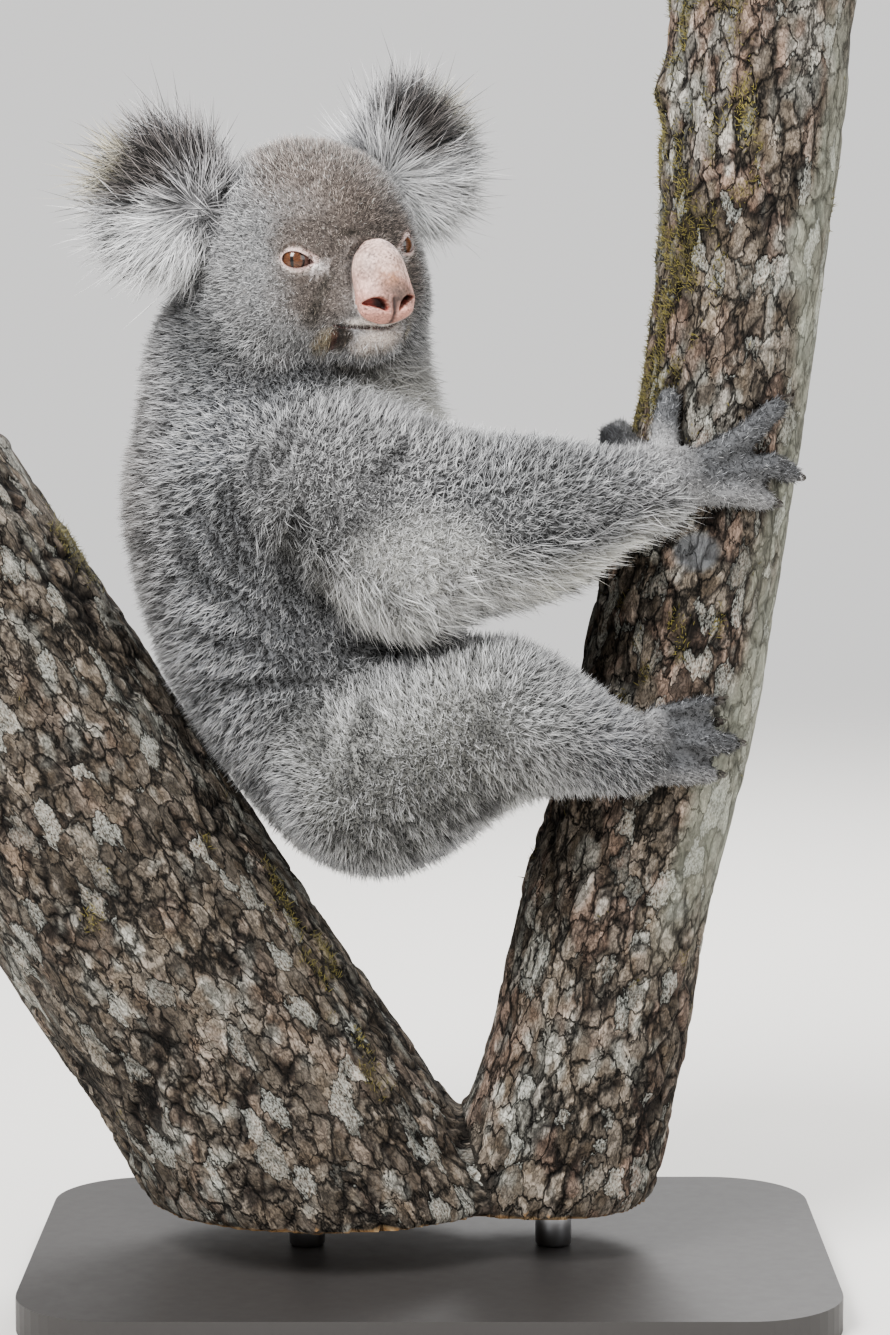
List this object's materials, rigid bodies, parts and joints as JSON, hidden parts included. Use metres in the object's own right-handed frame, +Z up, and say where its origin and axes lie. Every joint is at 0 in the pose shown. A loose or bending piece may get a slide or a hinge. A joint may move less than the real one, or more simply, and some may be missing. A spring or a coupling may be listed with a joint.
{
  "type": "koala",
  "caption": "Still life-size koala sitting braced in the fork of a tree limb, hands and feet gripping one limb, held up by a flat stand.",
  "frame": {"origin": "middle of the stand base's underside, on the floor", "axes": "+X the way the koala's chest faces, towards the upright limb; +Y its left side; +Z up"},
  "size_m": [0.515, 0.34, 0.79],
  "materials": {
    "coat": "thick woolly salt-and-pepper grey fur",
    "ear_coat": "long pale fringed fur",
    "paw_coat": "short dark grey fur",
    "nose": "bare pink skin with grey mottling",
    "eye": "glossy brown iris with an upright slit pupil",
    "claw": "dark horn",
    "bark": "rough fissured bark with lichen and moss",
    "stand_board": "satin black paint",
    "stand_steel": "brushed"
  },
  "bodies": {
    "root": {"claw_foot_left_2": "claw", "claw_foot_left_3": "claw", "claw_foot_left_4": "claw", "claw_foot_left_5": "claw", "claw_foot_right_2": "claw", "claw_foot_right_3": "claw", "claw_foot_right_4": "claw", "claw_foot_right_5": "claw", "claw_hand_left_1": "claw", "claw_hand_left_2": "claw", "claw_hand_left_3": "claw", "claw_hand_left_4": "claw", "claw_hand_left_5": "claw", "claw_hand_right_1": "claw", "claw_hand_right_2": "claw", "claw_hand_right_3": "claw", "claw_hand_right_4": "claw", "claw_hand_right_5": "claw", "ear_left": "ear_coat", "ear_right": "ear_coat", "eye_left": "eye", "eye_right": "eye", "foot_left": "paw_coat", "foot_right": "paw_coat", "forearm_left": "coat", "forearm_right": "coat", "hand_left": "paw_coat", "hand_right": "paw_coat", "head": "coat", "neck": "coat", "nose": "nose", "perch": "bark", "shank_left": "coat", "shank_right": "coat", "stand_base": "stand_board", "stand_rod_back": "stand_steel", "stand_rod_front": "stand_steel", "thigh_left": "coat", "thigh_right": "coat", "torso": "coat", "upper_arm_left": "coat", "upper_arm_right": "coat"}
  },
  "joints": []
}
